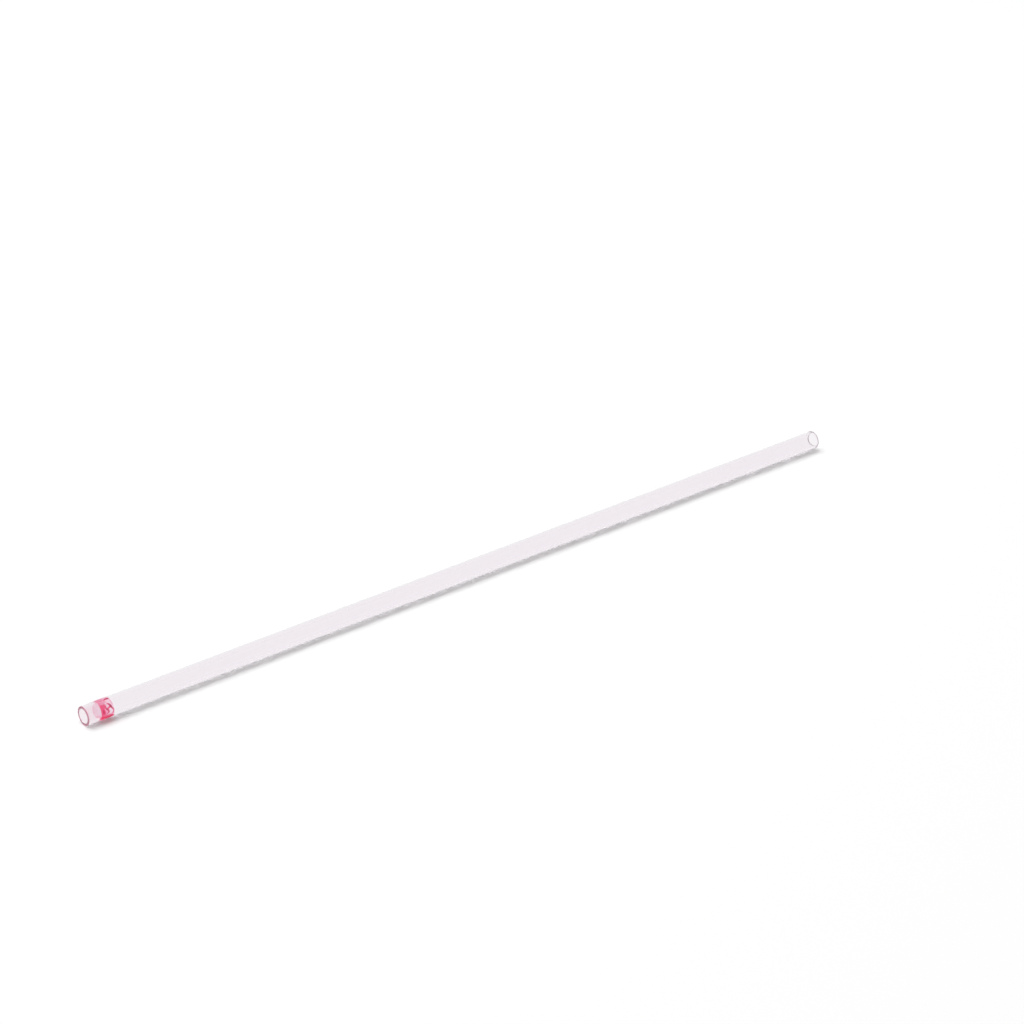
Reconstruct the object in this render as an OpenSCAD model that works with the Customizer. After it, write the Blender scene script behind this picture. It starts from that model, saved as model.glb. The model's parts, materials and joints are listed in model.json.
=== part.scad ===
// Glass capillary tube of the micro-haematocrit kind, with one lacquer ring near an end.
// It lies level along X with the ringed end towards -X. The origin is on the tube's axis, at
// the middle of its length. All sizes are in millimetres.

/* [Tube] */
// Length over both ends
tube_length = 75; // [30:0.5:150]
// Diameter of the bore
bore_d = 1.15; // [0.6:0.05:3]
// Thickness of the glass wall
wall = 0.2; // [0.15:0.01:0.6]
// Radius that fire polishing leaves on each edge of the two rims
rim_r = 0.05; // [0.02:0.005:0.07]

/* [Colour ring] */
// Bare glass between the ringed end and the lacquer
ring_offset = 1.2; // [0.5:0.05:6]
// Width of the lacquer ring along the tube
ring_width = 1.05; // [0.6:0.05:4]
// Thickness of the dried lacquer
ring_film = 0.02; // [0.015:0.005:0.06]
// Length over which the lacquer thins out at each edge of the ring
ring_feather = 0.06; // [0.02:0.01:0.1]

/* [Hidden] */
$fn = 96;
bore_r = bore_d / 2;
tube_r = bore_r + wall;
ring_r = tube_r + ring_film;
ringed_end_x = -tube_length / 2;

glass_colour = [0.93, 0.9, 0.93, 0.35];
lacquer_colour = [0.88, 0.2, 0.36, 0.8];

// Turns the Z axis of a shape into the tube's axis, with its Z = 0 at the ringed end.
module along_tube() {
    translate([ringed_end_x, 0, 0])
        rotate([0, 90, 0])
            children();
}

// Half section of the glass: a long wall whose four corners are rounded by the flame.
module wall_section() {
    translate([bore_r, rim_r])
        square([wall, tube_length - 2 * rim_r]);
    translate([bore_r + rim_r, 0])
        square([wall - 2 * rim_r, tube_length]);
    for (r = [bore_r + rim_r, tube_r - rim_r], z = [rim_r, tube_length - rim_r])
        translate([r, z])
            circle(r = rim_r);
}

// Half section of the lacquer: an even film that thins out to nothing at both edges.
module film_section() {
    polygon([
        [tube_r, ring_offset],
        [ring_r, ring_offset + ring_feather],
        [ring_r, ring_offset + ring_width - ring_feather],
        [tube_r, ring_offset + ring_width]
    ]);
}

module glass_tube() {
    color(glass_colour)
        along_tube()
            rotate_extrude()
                wall_section();
}

module colour_ring() {
    color(lacquer_colour)
        along_tube()
            rotate_extrude()
                film_section();
}

glass_tube();
colour_ring();
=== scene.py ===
import json
import math

import bpy
import numpy as np
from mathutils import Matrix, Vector, noise


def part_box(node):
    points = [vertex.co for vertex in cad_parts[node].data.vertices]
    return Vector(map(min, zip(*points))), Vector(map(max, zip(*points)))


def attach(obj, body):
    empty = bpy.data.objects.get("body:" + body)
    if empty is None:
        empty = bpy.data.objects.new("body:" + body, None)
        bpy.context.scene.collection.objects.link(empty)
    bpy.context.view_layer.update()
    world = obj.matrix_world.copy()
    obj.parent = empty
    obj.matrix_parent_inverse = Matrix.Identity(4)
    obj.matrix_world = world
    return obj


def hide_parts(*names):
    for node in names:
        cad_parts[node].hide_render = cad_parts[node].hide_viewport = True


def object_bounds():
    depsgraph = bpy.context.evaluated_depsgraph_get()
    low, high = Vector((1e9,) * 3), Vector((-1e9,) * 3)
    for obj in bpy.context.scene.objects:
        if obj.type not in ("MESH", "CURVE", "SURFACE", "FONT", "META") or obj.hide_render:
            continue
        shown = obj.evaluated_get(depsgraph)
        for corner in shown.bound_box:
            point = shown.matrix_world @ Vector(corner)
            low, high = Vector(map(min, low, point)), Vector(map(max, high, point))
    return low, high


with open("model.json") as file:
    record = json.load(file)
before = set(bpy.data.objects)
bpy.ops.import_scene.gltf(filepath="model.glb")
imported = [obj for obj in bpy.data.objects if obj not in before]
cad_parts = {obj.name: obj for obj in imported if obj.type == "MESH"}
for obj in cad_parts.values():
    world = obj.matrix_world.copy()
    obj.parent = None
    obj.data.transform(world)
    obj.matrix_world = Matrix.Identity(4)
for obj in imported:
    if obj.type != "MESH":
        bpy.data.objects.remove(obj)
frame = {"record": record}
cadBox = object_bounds()
mm = 0.001

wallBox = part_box("glass_tube")
axisPoint = (wallBox[0] + wallBox[1]) / 2
outerRadius = (wallBox[1].y - wallBox[0].y) / 2
boreRadius = frame["record"]["mounts"][0]["dims"]["r_mm"] * mm
tubeLength = wallBox[1].x - wallBox[0].x
ringedEnd = wallBox[0].x
print("frame loaded: tube", round(tubeLength / mm, 2), "mm long,",
      round(2 * outerRadius / mm, 3), "mm over the glass")


# small helpers for node trees
def addNode(tree, kind, place, **values):
    node = tree.nodes.new(kind)
    node.location = place
    for name, value in values.items():
        setattr(node, name, value)
    return node


def newMaterial(name):
    material = bpy.data.materials.new(name)
    material.use_nodes = True
    tree = material.node_tree
    tree.nodes.clear()
    out = addNode(tree, "ShaderNodeOutputMaterial", (600, 0))
    return material, tree, out


def setRamp(ramp, stops):
    while len(ramp.elements) > 1:
        ramp.elements.remove(ramp.elements[-1])
    ramp.elements[0].position, ramp.elements[0].color = stops[0][0], (*stops[0][1], 1)
    for place, colour in stops[1:]:
        ramp.elements.new(place).color = (*colour, 1)


clearGlass = {
    "skin": (0.968, 0.949, 0.963),
    "skinDeep": (0.961, 0.938, 0.956),
    "drawn": (60, 2600, 2600),  # drawing lines run along the tube, so they are far finer across it
    "drawnDetail": 3,
    "through": (0.68, 0.53, 0.68),  # the melt's tint, which grows with the density and the way through
    "density": 200,
    "paintedRingLight": (0.953, 0.896, 0.922),  # painted light: a pink tint in the glass colour stands in for the ring's light that the wall leads to the end next to it
    "ringLightFrom": 1.3 * mm,  # from the ringed end, where the painted ring light begins
    "ringLightTo": 1.1 * mm,  # and where it is full
    "index": 1.51,
    "roughness": 0.01,
}


def makeGlassMaterial(look):
    material, tree, out = newMaterial("clearGlass")
    link = tree.links.new
    place = addNode(tree, "ShaderNodeTexCoord", (-1300, 0))
    axes = addNode(tree, "ShaderNodeSeparateXYZ", (-1100, -200))
    link(place.outputs["Object"], axes.inputs[0])

    drawn = addNode(tree, "ShaderNodeMapping", (-1100, 200))
    drawn.inputs["Scale"].default_value = look["drawn"]
    link(place.outputs["Object"], drawn.inputs["Vector"])
    streaks = addNode(tree, "ShaderNodeTexNoise", (-900, 200))
    streaks.inputs["Scale"].default_value = 1
    streaks.inputs["Detail"].default_value = look["drawnDetail"]
    link(drawn.outputs[0], streaks.inputs["Vector"])
    body = addNode(tree, "ShaderNodeMix", (-600, 200), data_type="RGBA")
    body.inputs["A"].default_value = (*look["skin"], 1)
    body.inputs["B"].default_value = (*look["skinDeep"], 1)
    link(streaks.outputs["Fac"], body.inputs["Factor"])

    # painted light: near the ringed end the glass colour turns pink, in place of the ring's light led
    # through the wall
    ringLightShare = addNode(tree, "ShaderNodeMapRange", (-850, -150), interpolation_type="SMOOTHSTEP")
    ringLightShare.inputs["From Min"].default_value = ringedEnd + look["ringLightTo"]
    ringLightShare.inputs["From Max"].default_value = ringedEnd + look["ringLightFrom"]
    ringLightShare.inputs["To Min"].default_value = 1
    ringLightShare.inputs["To Max"].default_value = 0
    link(axes.outputs["X"], ringLightShare.inputs["Value"])

    ringLitBody = addNode(tree, "ShaderNodeMix", (-350, 100), data_type="RGBA")
    ringLitBody.inputs["B"].default_value = (*look["paintedRingLight"], 1)
    link(ringLightShare.outputs[0], ringLitBody.inputs["Factor"])
    link(body.outputs["Result"], ringLitBody.inputs["A"])

    glass = addNode(tree, "ShaderNodeBsdfPrincipled", (200, 0))
    glass.inputs["Transmission Weight"].default_value = 1
    glass.inputs["IOR"].default_value = look["index"]
    glass.inputs["Roughness"].default_value = look["roughness"]
    link(ringLitBody.outputs["Result"], glass.inputs["Base Color"])
    link(glass.outputs[0], out.inputs["Surface"])
    melt = addNode(tree, "ShaderNodeVolumeAbsorption", (200, -400))
    melt.inputs["Color"].default_value = (*look["through"], 1)
    melt.inputs["Density"].default_value = look["density"]
    link(melt.outputs[0], out.inputs["Volume"])
    return material


roseLacquer = {
    "stops": [  # from bare to the deepest pigment
        (0.0, (1.0, 0.985, 0.99)),
        (0.08, (1.0, 0.86, 0.93)),
        (0.16, (1.0, 0.73, 0.83)),
        (0.33, (1.0, 0.42, 0.57)),
        (0.5, (1.0, 0.13, 0.29)),
        (0.66, (0.78, 0.08, 0.2)),
        (0.84, (0.56, 0.05, 0.135)),
        (1.0, (0.4, 0.03, 0.09)),
    ],
    "index": 1.12,  # low, as lacquer on glass of its own index hardly shows where the two meet
    "roughness": 0.06,
    "clearness": 0.96,
    "grain": 22000,
    "grainDetail": 2,
    "grainStrength": 0.25,
    "grainDepth": 0.002 * mm,
}


def makeLacquerMaterial(look):
    material, tree, out = newMaterial("roseLacquer")
    link = tree.links.new
    pigment = addNode(tree, "ShaderNodeAttribute", (-900, 0), attribute_name="pigment")
    tone = addNode(tree, "ShaderNodeValToRGB", (-400, 0))
    setRamp(tone.color_ramp, look["stops"])
    link(pigment.outputs["Fac"], tone.inputs[0])

    place = addNode(tree, "ShaderNodeTexCoord", (-900, -400))
    grain = addNode(tree, "ShaderNodeTexNoise", (-650, -400))
    grain.inputs["Scale"].default_value = look["grain"]
    grain.inputs["Detail"].default_value = look["grainDetail"]
    link(place.outputs["Object"], grain.inputs["Vector"])
    bump = addNode(tree, "ShaderNodeBump", (-350, -400))
    bump.inputs["Strength"].default_value = look["grainStrength"]
    bump.inputs["Distance"].default_value = look["grainDepth"]
    link(grain.outputs["Fac"], bump.inputs["Height"])

    lacquer = addNode(tree, "ShaderNodeBsdfPrincipled", (200, 0))
    lacquer.inputs["Transmission Weight"].default_value = look["clearness"]
    lacquer.inputs["IOR"].default_value = look["index"]
    lacquer.inputs["Roughness"].default_value = look["roughness"]
    link(tone.outputs["Color"], lacquer.inputs["Base Color"])
    link(bump.outputs[0], lacquer.inputs["Normal"])
    link(lacquer.outputs[0], out.inputs["Surface"])
    return material


ringedRimPaintedLight = {
    "name": "ringedRimPaintedLight",
    "clear": (0.92, 0.8, 0.85),  # inner lip, painted pale pink: stands in for the ring's light that the wall leads to the rim
    "outer": (0.87, 0.35, 0.48),  # outer lip, painted rose: stands in for the ring's light that the wall leads along and gathers here
    "outerDeep": (0.72, 0.23, 0.35),
    "from": 0.578 * mm,  # radii between which the outer lip's colour sets in
    "to": 0.612 * mm,
    "clearness": 0.35,
    "roughness": 0.3,
    "glow": 0.2,  # painted glow: emission stands in for light the wall leads out through the inner lip
    "patches": 1500,  # the outer lip's painted light changes in patches
    "patchDetail": 2,
    "patchStops": (0.35, 0.65),
}
# the plain end's rim: painted grey-lilac, with the same painted pale pink inner lip and glow, in place of
# light the wall leads to this end
plainRimPaintedLight = dict(ringedRimPaintedLight, name="plainRimPaintedLight", outer=(0.9, 0.87, 0.9), outerDeep=(0.84, 0.81, 0.85))
rimReach = 0.048 * mm  # a rim's painted colour and glow show on this much of its end


# a rim's colour and glow are painted light, in place of the light that the wall leads along to its ends
def makeRimMaterial(look):
    material, tree, out = newMaterial(look["name"])
    link = tree.links.new
    place = addNode(tree, "ShaderNodeTexCoord", (-1200, 0))
    patches = addNode(tree, "ShaderNodeTexNoise", (-950, 0))
    patches.inputs["Scale"].default_value = look["patches"]
    patches.inputs["Detail"].default_value = look["patchDetail"]
    link(place.outputs["Object"], patches.inputs["Vector"])
    tone = addNode(tree, "ShaderNodeValToRGB", (-700, 0))
    setRamp(tone.color_ramp, list(zip(look["patchStops"], (look["outer"], look["outerDeep"]))))
    link(patches.outputs["Fac"], tone.inputs[0])
    across = addNode(tree, "ShaderNodeVectorMath", (-950, -300), operation="MULTIPLY")
    across.inputs[1].default_value = (0, 1, 1)
    link(place.outputs["Object"], across.inputs[0])
    radius = addNode(tree, "ShaderNodeVectorMath", (-750, -300), operation="LENGTH")
    link(across.outputs[0], radius.inputs[0])
    outerLip = addNode(tree, "ShaderNodeMapRange", (-550, -300), interpolation_type="SMOOTHSTEP")
    outerLip.inputs["From Min"].default_value = look["from"]
    outerLip.inputs["From Max"].default_value = look["to"]
    link(radius.outputs["Value"], outerLip.inputs["Value"])
    lip = addNode(tree, "ShaderNodeMix", (-250, 0), data_type="RGBA")
    lip.inputs["A"].default_value = (*look["clear"], 1)
    link(outerLip.outputs[0], lip.inputs["Factor"])
    link(tone.outputs["Color"], lip.inputs["B"])
    rim = addNode(tree, "ShaderNodeBsdfPrincipled", (200, 0))
    rim.inputs["Transmission Weight"].default_value = look["clearness"]
    rim.inputs["IOR"].default_value = clearGlass["index"]
    rim.inputs["Roughness"].default_value = look["roughness"]
    link(lip.outputs["Result"], rim.inputs["Base Color"])
    # painted glow from the inner lip, fading out towards the outer lip
    glow = addNode(tree, "ShaderNodeMix", (-250, -500), data_type="RGBA")
    glow.inputs["A"].default_value = (*look["clear"], 1)
    glow.inputs["B"].default_value = (0, 0, 0, 1)
    link(outerLip.outputs[0], glow.inputs["Factor"])
    link(glow.outputs["Result"], rim.inputs["Emission Color"])
    rim.inputs["Emission Strength"].default_value = look["glow"]
    link(rim.outputs[0], out.inputs["Surface"])
    return material


# the glass tube is turned from its wall section
glassTube = {
    "around": 192,
    "rimRadius": 0.05 * mm,
    "rimSteps": 8,
}


def makeLatheTree():
    tree = bpy.data.node_groups.new("turnedWall", "GeometryNodeTree")
    face = tree.interface
    face.new_socket("Geometry", in_out="INPUT", socket_type="NodeSocketGeometry")
    for name, kind in (
        ("Length", "Float"), ("Bore Radius", "Float"), ("Wall", "Float"), ("Rim Radius", "Float"),
        ("Around", "Int"), ("Rim Steps", "Int"), ("Centre", "Vector"), ("Glass", "Material"),
        ("Ringed Rim", "Material"), ("Plain Rim", "Material"), ("Rim Reach", "Float"),
    ):
        face.new_socket(name, in_out="INPUT", socket_type="NodeSocket" + kind)
    face.new_socket("Geometry", in_out="OUTPUT", socket_type="NodeSocketGeometry")
    link = tree.links.new
    given = addNode(tree, "NodeGroupInput", (-1000, 0))
    made = addNode(tree, "NodeGroupOutput", (1600, 0))

    section = addNode(tree, "GeometryNodeCurvePrimitiveQuadrilateral", (-700, 200), mode="RECTANGLE")
    link(given.outputs["Wall"], section.inputs["Width"])
    link(given.outputs["Length"], section.inputs["Height"])
    rounded = addNode(tree, "GeometryNodeFilletCurve", (-450, 200))
    rounded.mode = "POLY"
    link(section.outputs["Curve"], rounded.inputs["Curve"])
    link(given.outputs["Rim Radius"], rounded.inputs["Radius"])
    link(given.outputs["Rim Steps"], rounded.inputs["Count"])

    halfWall = addNode(tree, "ShaderNodeMath", (-700, -150), operation="MULTIPLY_ADD")
    halfWall.inputs[1].default_value = 0.5
    link(given.outputs["Wall"], halfWall.inputs[0])
    link(given.outputs["Bore Radius"], halfWall.inputs[2])
    path = addNode(tree, "GeometryNodeCurvePrimitiveCircle", (-450, -100), mode="RADIUS")
    link(given.outputs["Around"], path.inputs["Resolution"])
    link(halfWall.outputs[0], path.inputs["Radius"])

    sweep = addNode(tree, "GeometryNodeCurveToMesh", (-150, 50))
    link(path.outputs["Curve"], sweep.inputs["Curve"])
    link(rounded.outputs["Curve"], sweep.inputs["Profile Curve"])
    laid = addNode(tree, "GeometryNodeTransform", (100, 50))
    laid.inputs["Rotation"].default_value = (0, math.pi / 2, 0)
    link(sweep.outputs["Mesh"], laid.inputs["Geometry"])
    link(given.outputs["Centre"], laid.inputs["Translation"])
    smooth = addNode(tree, "GeometryNodeSetShadeSmooth", (350, 50))
    link(laid.outputs["Geometry"], smooth.inputs["Geometry"])
    real = addNode(tree, "GeometryNodeRealizeInstances", (600, 50))
    link(smooth.outputs["Geometry"], real.inputs["Geometry"])
    dressed = addNode(tree, "GeometryNodeSetMaterial", (850, 50))
    link(real.outputs["Geometry"], dressed.inputs["Geometry"])
    link(given.outputs["Glass"], dressed.inputs["Material"])
    where = addNode(tree, "GeometryNodeInputPosition", (100, -250))
    fromCentre = addNode(tree, "ShaderNodeVectorMath", (350, -250), operation="SUBTRACT")
    link(where.outputs[0], fromCentre.inputs[0])
    link(given.outputs["Centre"], fromCentre.inputs[1])
    axes = addNode(tree, "ShaderNodeSeparateXYZ", (600, -250))
    link(fromCentre.outputs[0], axes.inputs[0])
    inward = addNode(tree, "ShaderNodeMath", (100, -500), operation="MULTIPLY")
    inward.inputs[1].default_value = -1
    link(given.outputs["Rim Reach"], inward.inputs[0])
    after = addNode(tree, "ShaderNodeMath", (350, -500), operation="MULTIPLY_ADD")  # centre to rim
    after.inputs[1].default_value = 0.5
    link(given.outputs["Length"], after.inputs[0])
    link(inward.outputs[0], after.inputs[2])
    before = addNode(tree, "ShaderNodeMath", (600, -500), operation="MULTIPLY")
    before.inputs[1].default_value = -1
    link(after.outputs[0], before.inputs[0])
    shape = dressed.outputs["Geometry"]
    for rim, side, limit, place in (
        ("Ringed Rim", "LESS_THAN", before, 1100),
        ("Plain Rim", "GREATER_THAN", after, 1350),
    ):
        atRim = addNode(tree, "FunctionNodeCompare", (place - 250, -250), data_type="FLOAT", operation=side)
        link(axes.outputs["X"], atRim.inputs["A"])
        link(limit.outputs[0], atRim.inputs["B"])
        rimmed = addNode(tree, "GeometryNodeSetMaterial", (place, 50))
        link(shape, rimmed.inputs["Geometry"])
        link(atRim.outputs[0], rimmed.inputs["Selection"])
        link(given.outputs[rim], rimmed.inputs["Material"])
        shape = rimmed.outputs["Geometry"]
    link(shape, made.inputs["Geometry"])
    return tree


def setInputs(modifier, values):
    sockets = modifier.node_group.interface.items_tree
    names = {socket.name: socket.identifier for socket in sockets if socket.in_out == "INPUT"}
    for name, value in values.items():
        modifier[names[name]] = value


def plainMesh(piece):
    view = bpy.context.evaluated_depsgraph_get()
    mesh = bpy.data.meshes.new_from_object(piece.evaluated_get(view), depsgraph=view)
    piece.modifiers.clear()
    piece.data = mesh
    return piece


def newPiece(name, mesh):
    piece = bpy.data.objects.new(name, mesh)
    bpy.context.scene.collection.objects.link(piece)
    return piece


def trueNormals(mesh, rimRadius):
    # the wall is a flat section grown by its rim radius, so each normal points away from that section
    spots = np.array([vertex.co for vertex in mesh.vertices]) - np.array(axisPoint)
    radii = np.hypot(spots[:, 1], spots[:, 2])
    out = radii - np.clip(radii, boreRadius + rimRadius, outerRadius - rimRadius)
    reach = tubeLength / 2 - rimRadius
    normals = np.column_stack([spots[:, 0] - np.clip(spots[:, 0], -reach, reach),
                               out * spots[:, 1] / radii, out * spots[:, 2] / radii])
    mesh.normals_split_custom_set_from_vertices(normals / np.linalg.norm(normals, axis=1)[:, None])


def buildTube(settings, glass, rims):
    piece = newPiece("glassTube", bpy.data.meshes.new("glassTube"))
    turned = piece.modifiers.new("turnedWall", "NODES")
    turned.node_group = makeLatheTree()
    setInputs(turned, {
        "Length": tubeLength,
        "Bore Radius": boreRadius,
        "Wall": outerRadius - boreRadius,
        "Rim Radius": settings["rimRadius"],
        "Around": settings["around"],
        "Rim Steps": settings["rimSteps"],
        "Centre": axisPoint,
        "Glass": glass,
        "Ringed Rim": rims[0],
        "Plain Rim": rims[1],
        "Rim Reach": rimReach,
    })
    plainMesh(piece)
    piece.data.name = "glassTube"
    trueNormals(piece.data, settings["rimRadius"])
    return piece


# the lacquer ring is an uneven film, and its pigment is marbled
lacquerRing = {
    "start": 1.165,  # mm from the ringed end, where the film is still under the glass skin
    "end": 2.27,
    "lean": 0.03,  # how much sooner the near edge starts at the angle of the next line
    "leanAngle": -30,
    "wander": 0.02,  # how far the two edges stray
    "nearWaves": 2.2,  # how often each strays
    "farWaves": 3.1,
    "farShift": (9, 0, 0),
    "feather": 0.12,
    "film": 0.02,
    "thinnest": 0.4,  # share of the film's thickness where there is no pigment
    "thicken": 1.2,  # and what a full pigment adds to that share, up to the whole
    "sink": 0.004,  # the film's back lies this far inside the glass skin
    "alongSteps": 84,
    "aroundSteps": 336,
    "pale": 0.13,  # pigment of the even film at the back and underneath
    "bare": 0.1,  # and between the veins at the front
    "front": 30,  # the angle that the front is centred on
    "frontReach": (60, 95),
    "edgeGain": 0.06,  # a little more pigment gathers at each edge
    "edgeReach": (0.02, 0.08),
    # noise that bends the marks: (size, scale, shift)
    "bendAlong": [(0.045, 4, (3, 1, 7)), (0.02, 11, (8, 2, 5))],
    "bendAround": [(3.5, 4, (1, 9, 4)), (1.5, 11, (6, 0, 3))],
    "cloud": (0.5, 2.6, (0, 0, 0)),  # and that varies the pigment
    "mottle": (0.14, 9, (2, 2, 2)),
    "ridge": (0.05, 4.3, (0, 5, 0)),
    "ridgeReach": 0.15,
    "soften": 0.05,  # mm over which a field's pigment sets in
    "softenAngle": 4,  # and degrees
    "veinCore": 0.45,  # share of a vein's half width that holds its full pigment
    "veinFade": 1.25,  # and where it has faded
    # fields of even pigment: first and last mm, first and last angle, pigment
    "fields": [
        (1.0, 1.5, -10, 55, 0.45),
        (1.4, 1.6, 35, 55, 0.45),
        (1.6, 1.9, 45, 55, 0.25),
        (1.0, 1.85, 60, 130, 0.25),
        (1.0, 1.55, 55, 75, 0.3),
        (2.1, 2.4, 35, 115, 0.2),
        (1.45, 1.8, -5, 45, 0.2),
        (1.8, 2.05, 55, 75, 0.15),
        (1.0, 2.3, -65, -20, 0.45),
        (1.0, 1.4, -25, -10, 0.4),
        (1.4, 2.1, -20, -5, 0.15),
        (1.0, 1.5, -110, -65, 0.25),
    ],
    # veins where the pigment gathered: (mm, angle, pigment, half width in mm)
    "veins": [
        [(1.6, 45, 0.6, 0.06), (1.6, 30, 0.75, 0.08), (1.75, 15, 0.75, 0.07), (1.75, 5, 0.65, 0.06),
         (1.55, -5, 0.5, 0.06)],
        [(1.85, 55, 0.45, 0.06), (2.0, 40, 0.85, 0.09), (2.1, 25, 0.8, 0.07), (2.2, 10, 0.6, 0.05),
         (2.15, -5, 0.65, 0.06)],
        [(2.0, 35, 0.55, 0.07), (1.75, 25, 0.55, 0.08)],
        [(1.35, 30, 0.5, 0.08), (1.35, 15, 0.7, 0.12), (1.35, 5, 0.6, 0.1)],
        [(2.1, 85, 0.85, 0.12), (2.0, 85, 0.8, 0.11), (1.75, 80, 0.35, 0.05)],
        [(1.2, -30, 0.5, 0.06), (1.7, -35, 0.7, 0.08), (1.9, -35, 0.9, 0.09), (2.15, -20, 0.7, 0.06)],
    ],
}


def smoothStep(low, high, value):
    share = np.clip((value - low) / (high - low), 0, 1)
    return share * share * (3 - 2 * share)


def wrapped(angle):
    return (angle + 180) % 360 - 180


def softPath(points, steps=12):
    points = np.array(points)  # each a place on the film with what it holds there
    ends = np.vstack([2 * points[0] - points[1], points, 2 * points[-1] - points[-2]])
    share = np.linspace(0, 1, steps, endpoint=False)[:, None]
    runs = []
    for before, start, end, after in zip(ends, ends[1:], ends[2:], ends[3:]):
        bend = 2 * before - 5 * start + 4 * end - after
        twist = 3 * start - before - 3 * end + after
        runs.append(start + 0.5 * ((end - before) * share + bend * share ** 2 + twist * share ** 3))
    return np.vstack(runs + [points[-1:]])


def noiseOver(spots, size, scale, shift):
    return size * np.array([noise.noise(Vector(spot) * scale + Vector(shift)) for spot in spots])


def pigmentAt(along, angle, settings):
    # angle 0 faces -Y and 90 is the top
    radius = outerRadius / mm
    turn = np.radians(angle)
    spots = np.stack([along, radius * np.cos(turn), radius * np.sin(turn)], axis=1)
    s = sum((noiseOver(spots, *bend) for bend in settings["bendAlong"]), along)
    a = sum((noiseOver(spots, *bend) for bend in settings["bendAround"]), angle)
    front = 1 - smoothStep(*settings["frontReach"], abs(wrapped(a - settings["front"])))
    value = settings["pale"] + (settings["bare"] - settings["pale"]) * front
    value = value * (1 + noiseOver(spots, *settings["cloud"]))
    gain, scale, shift = settings["ridge"]
    ridges = abs(noiseOver(spots, 1, scale, shift))
    value = value + gain * (1 - smoothStep(0, settings["ridgeReach"], ridges))
    soft, softAngle = settings["soften"], settings["softenAngle"]
    for s0, s1, a0, a1, pigment in settings["fields"]:
        middle, reach = (a0 + a1) / 2, (a1 - a0) / 2
        inside = 1 - smoothStep(reach - softAngle, reach + softAngle, abs(wrapped(a - middle)))
        inside = inside * (1 - smoothStep(s1 - soft, s1 + soft, s)) * smoothStep(s0 - soft, s0 + soft, s)
        value = value + np.maximum(pigment - value, 0) * inside
    value = value * (1 + noiseOver(spots, *settings["mottle"]))
    for vein in settings["veins"]:
        for s0, a0, pigment, width in softPath(vein):
            gap = np.hypot(s - s0, np.radians(wrapped(a - a0)) * radius)
            held = 1 - smoothStep(settings["veinCore"] * width, settings["veinFade"] * width, gap)
            value = np.maximum(value, pigment * held)
    return value


def buildRing(settings, material):
    stepsAlong, stepsAround = settings["alongSteps"], settings["aroundSteps"]
    angles = -90 + 360 * np.arange(stepsAround) / stepsAround
    sides = [Vector((0, -math.cos(turn), math.sin(turn))) for turn in np.radians(angles)]
    near = np.array([settings["start"] + settings["wander"] * noise.noise(side * settings["nearWaves"])
                     for side in sides])
    near = near - settings["lean"] * np.cos(np.radians(angles - settings["leanAngle"]))
    far = np.array([settings["end"] + settings["wander"] * noise.noise(
        side * settings["farWaves"] + Vector(settings["farShift"])) for side in sides])
    share = np.arange(stepsAlong + 1) / stepsAlong
    along = (near[:, None] + (far - near)[:, None] * share).ravel()
    row = stepsAlong + 1
    edge = np.minimum(along - np.repeat(near, row), np.repeat(far, row) - along)
    pigment = pigmentAt(along, np.repeat(angles, row), settings)
    pigment = pigment + settings["edgeGain"] * (1 - smoothStep(*settings["edgeReach"], edge))
    sink = settings["sink"]
    film = settings["film"] * np.minimum(1, settings["thinnest"] + settings["thicken"] * pigment)
    lift = (film + sink) * smoothStep(0, settings["feather"], edge) - sink

    outer, inner = [], []
    for k, (s, high) in enumerate(zip(along, lift)):
        side = sides[k // row]
        spine = Vector((ringedEnd + s * mm, axisPoint.y, axisPoint.z))
        outer.append(spine + side * (outerRadius + high * mm))
        inner.append(spine + side * (outerRadius - sink * mm))
    points, pigments, under = list(outer), list(pigment), {}
    for k in range(len(outer)):
        if k % row in (0, stepsAlong):  # the two skins share their edges
            under[k] = k
        else:
            under[k] = len(points)
            points.append(inner[k])
            pigments.append(pigment[k])
    faces = []
    for i in range(stepsAround):
        n = (i + 1) % stepsAround
        for j in range(stepsAlong):
            a, b, c, d = i * row + j, i * row + j + 1, n * row + j + 1, n * row + j
            faces.append((a, b, c, d))
            faces.append((under[d], under[c], under[b], under[a]))
    mesh = bpy.data.meshes.new("lacquerRing")
    mesh.from_pydata([p[:] for p in points], [], faces)
    mesh.update()
    mesh.attributes.new("pigment", "FLOAT", "POINT").data.foreach_set("value", pigments)
    mesh.shade_smooth()
    mesh.set_sharp_from_angle(angle=1)  # the two skins meet in a sharp edge
    mesh.materials.append(material)
    return newPiece("lacquerRing", mesh)


glassMaterial = makeGlassMaterial(clearGlass)
lacquerMaterial = makeLacquerMaterial(roseLacquer)
tube = buildTube(glassTube, glassMaterial, [makeRimMaterial(ringedRimPaintedLight), makeRimMaterial(plainRimPaintedLight)])
print("glass tube:", len(tube.data.polygons), "faces")
ring = buildRing(lacquerRing, lacquerMaterial)
print("lacquer ring:", len(ring.data.polygons), "faces")

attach(tube, "root")
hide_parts("glass_tube")
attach(ring, "root")
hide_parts("colour_ring")

# floor, light and camera
studio = {
    "floorSize": 3.0,
    "floorColour": (0.86, 0.86, 0.86),
    "floorLift": 0.12,  # what the paper adds to its own shade, so that it reads as white
    "floorThrough": 0.97,  # the paper's level behind clear glass
    "shineShare": 0.5,  # how much of that level reflections of the paper have
    "skyLight": 0.31,
    "skyTop": 0.9,  # what shows in reflections, overhead and at the horizon
    "skyLow": 0.82,
    "skyRise": 0.6,  # height on a ball of radius 1 at which overhead begins
    "backdrop": 0.94,
    "boxPower": 12.5,
    "boxSize": 0.9,
    "boxPlace": (-0.16, 0.32, 1.12),
}


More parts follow.
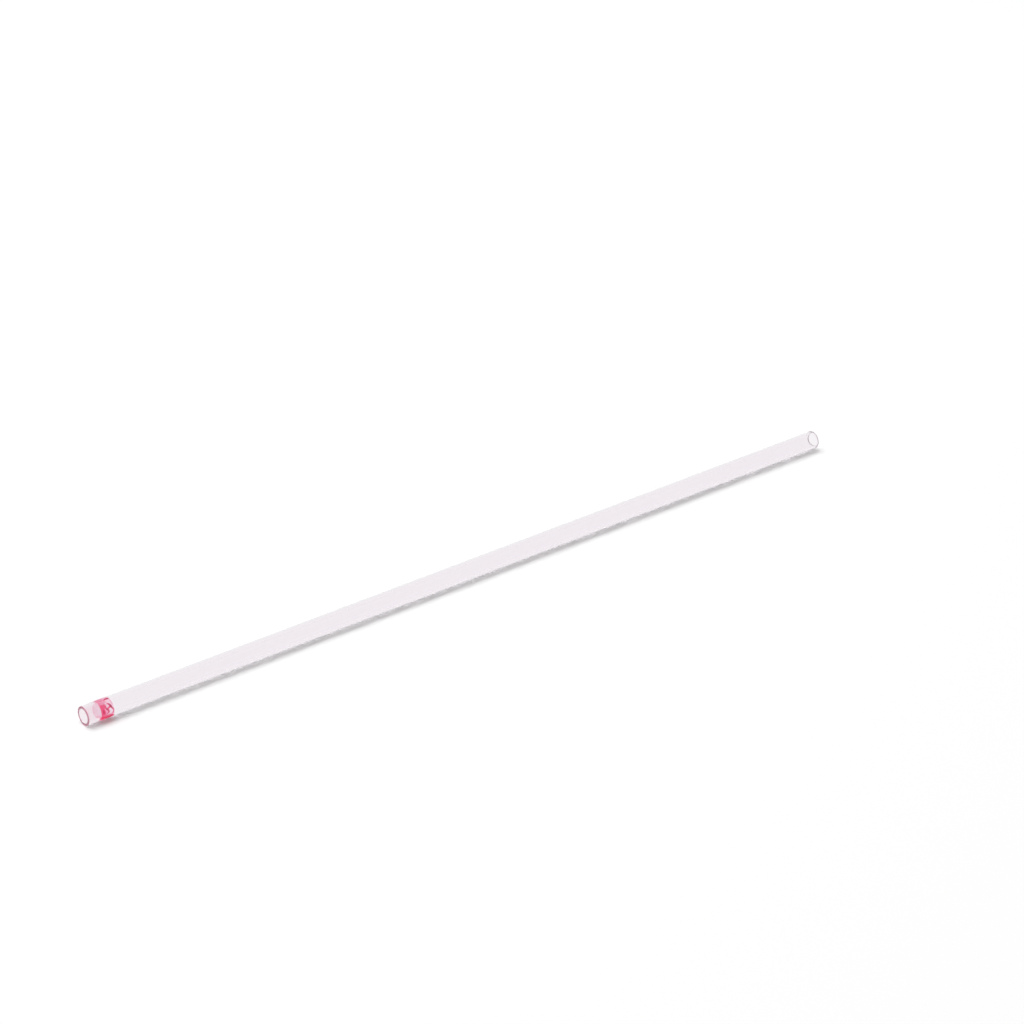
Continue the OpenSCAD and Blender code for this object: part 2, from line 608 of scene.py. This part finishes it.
def buildFloor(settings):
    half, low = settings["floorSize"] / 2, cadBox[0].z
    mesh = bpy.data.meshes.new("floor")
    mesh.from_pydata([(-half, -half, low), (half, -half, low), (half, half, low), (-half, half, low)], [],
                     [(0, 1, 2, 3)])
    material, tree, out = newMaterial("paleFloor")
    link = tree.links.new
    paper = addNode(tree, "ShaderNodeBsdfDiffuse", (0, 100))
    paper.inputs["Color"].default_value = (*settings["floorColour"], 1)
    path = addNode(tree, "ShaderNodeLightPath", (-600, -100))
    seen = addNode(tree, "ShaderNodeMath", (-400, -100), operation="MAXIMUM")
    link(path.outputs["Is Camera Ray"], seen.inputs[0])
    link(path.outputs["Is Glossy Ray"], seen.inputs[1])
    lift = addNode(tree, "ShaderNodeMath", (-200, -100), operation="MULTIPLY")
    lift.inputs[1].default_value = settings["floorLift"]
    link(seen.outputs[0], lift.inputs[0])
    glow = addNode(tree, "ShaderNodeEmission", (0, -100))
    link(lift.outputs[0], glow.inputs["Strength"])
    both = addNode(tree, "ShaderNodeAddShader", (200, 0))
    link(paper.outputs[0], both.inputs[0])
    link(glow.outputs[0], both.inputs[1])
    behind = addNode(tree, "ShaderNodeEmission", (200, -250))
    behind.inputs["Strength"].default_value = settings["floorThrough"]
    share = addNode(tree, "ShaderNodeMath", (0, -400), operation="MULTIPLY")
    share.inputs[1].default_value = settings["shineShare"]
    link(path.outputs["Is Glossy Ray"], share.inputs[0])
    clear = addNode(tree, "ShaderNodeMath", (200, -400), operation="MAXIMUM")
    link(share.outputs[0], clear.inputs[0])
    link(path.outputs["Is Transmission Ray"], clear.inputs[1])
    mixed = addNode(tree, "ShaderNodeMixShader", (400, 0))
    link(clear.outputs[0], mixed.inputs["Fac"])
    link(both.outputs[0], mixed.inputs[1])
    link(behind.outputs[0], mixed.inputs[2])
    link(mixed.outputs[0], out.inputs["Surface"])
    mesh.materials.append(material)
    return newPiece("floor", mesh)


def buildSky(settings):
    world = bpy.data.worlds.new("studioSky")
    bpy.context.scene.world = world
    world.use_nodes = True
    tree = world.node_tree
    tree.nodes.clear()
    link = tree.links.new
    out = addNode(tree, "ShaderNodeOutputWorld", (900, 0))
    sky = addNode(tree, "ShaderNodeBackground", (700, 0))
    sky.inputs["Color"].default_value = (1, 1, 1, 1)
    place = addNode(tree, "ShaderNodeTexCoord", (-600, 0))
    axes = addNode(tree, "ShaderNodeSeparateXYZ", (-400, 0))
    link(place.outputs["Generated"], axes.inputs[0])
    shine = addNode(tree, "ShaderNodeMapRange", (-200, 0), interpolation_type="SMOOTHSTEP")
    shine.inputs["From Min"].default_value = 0
    shine.inputs["From Max"].default_value = settings["skyRise"]
    shine.inputs["To Min"].default_value = settings["skyLow"]
    shine.inputs["To Max"].default_value = settings["skyTop"]
    link(axes.outputs["Z"], shine.inputs["Value"])
    path = addNode(tree, "ShaderNodeLightPath", (-400, -300))
    shining = addNode(tree, "ShaderNodeMix", (100, 0), data_type="FLOAT")
    shining.inputs["A"].default_value = settings["skyLight"]
    link(path.outputs["Is Glossy Ray"], shining.inputs["Factor"])
    link(shine.outputs[0], shining.inputs["B"])
    seen = addNode(tree, "ShaderNodeMath", (100, -300), operation="MAXIMUM")
    link(path.outputs["Is Camera Ray"], seen.inputs[0])
    link(path.outputs["Is Transmission Ray"], seen.inputs[1])
    level = addNode(tree, "ShaderNodeMix", (400, 0), data_type="FLOAT")
    level.inputs["B"].default_value = settings["backdrop"]
    link(seen.outputs[0], level.inputs["Factor"])
    link(shining.outputs["Result"], level.inputs["A"])
    link(level.outputs["Result"], sky.inputs["Strength"])
    link(sky.outputs[0], out.inputs["Surface"])


def buildSoftbox(settings):
    lamp = bpy.data.lights.new("softbox", "AREA")
    lamp.shape = "SQUARE"
    lamp.size = settings["boxSize"]
    lamp.energy = settings["boxPower"]
    box = bpy.data.objects.new("softbox", lamp)
    bpy.context.scene.collection.objects.link(box)
    box.location = settings["boxPlace"]
    box.rotation_mode = "QUATERNION"
    box.rotation_quaternion = (-Vector(settings["boxPlace"])).to_track_quat("-Z", "Y")


closeView = {
    "lens": 118,
    "sensor": 36,
    "place": (-0.14915, -0.18748, 0.12707),
    "ahead": (0.563, 0.6905, -0.454),
    "nearest": 0.01,
    "farthest": 10,
}


def buildCamera(settings):
    lens = bpy.data.cameras.new("camera")
    lens.lens = settings["lens"]
    lens.sensor_width = settings["sensor"]
    lens.clip_start = settings["nearest"]
    lens.clip_end = settings["farthest"]
    camera = bpy.data.objects.new("camera", lens)
    bpy.context.scene.collection.objects.link(camera)
    camera.location = settings["place"]
    camera.rotation_mode = "QUATERNION"
    camera.rotation_quaternion = Vector(settings["ahead"]).to_track_quat("-Z", "Y")
    bpy.context.scene.camera = camera


floor = buildFloor(studio)
buildSky(studio)
buildSoftbox(studio)
buildCamera(closeView)
bpy.context.scene.view_settings.view_transform = "Standard"
lightBounces = 32  # light crosses eight skins of glass and lacquer, and runs along inside the wall
bpy.context.scene.cycles.max_bounces = lightBounces
bpy.context.scene.cycles.transmission_bounces = lightBounces
bpy.context.scene.cycles.glossy_bounces = lightBounces
print("floor, light and camera are set")
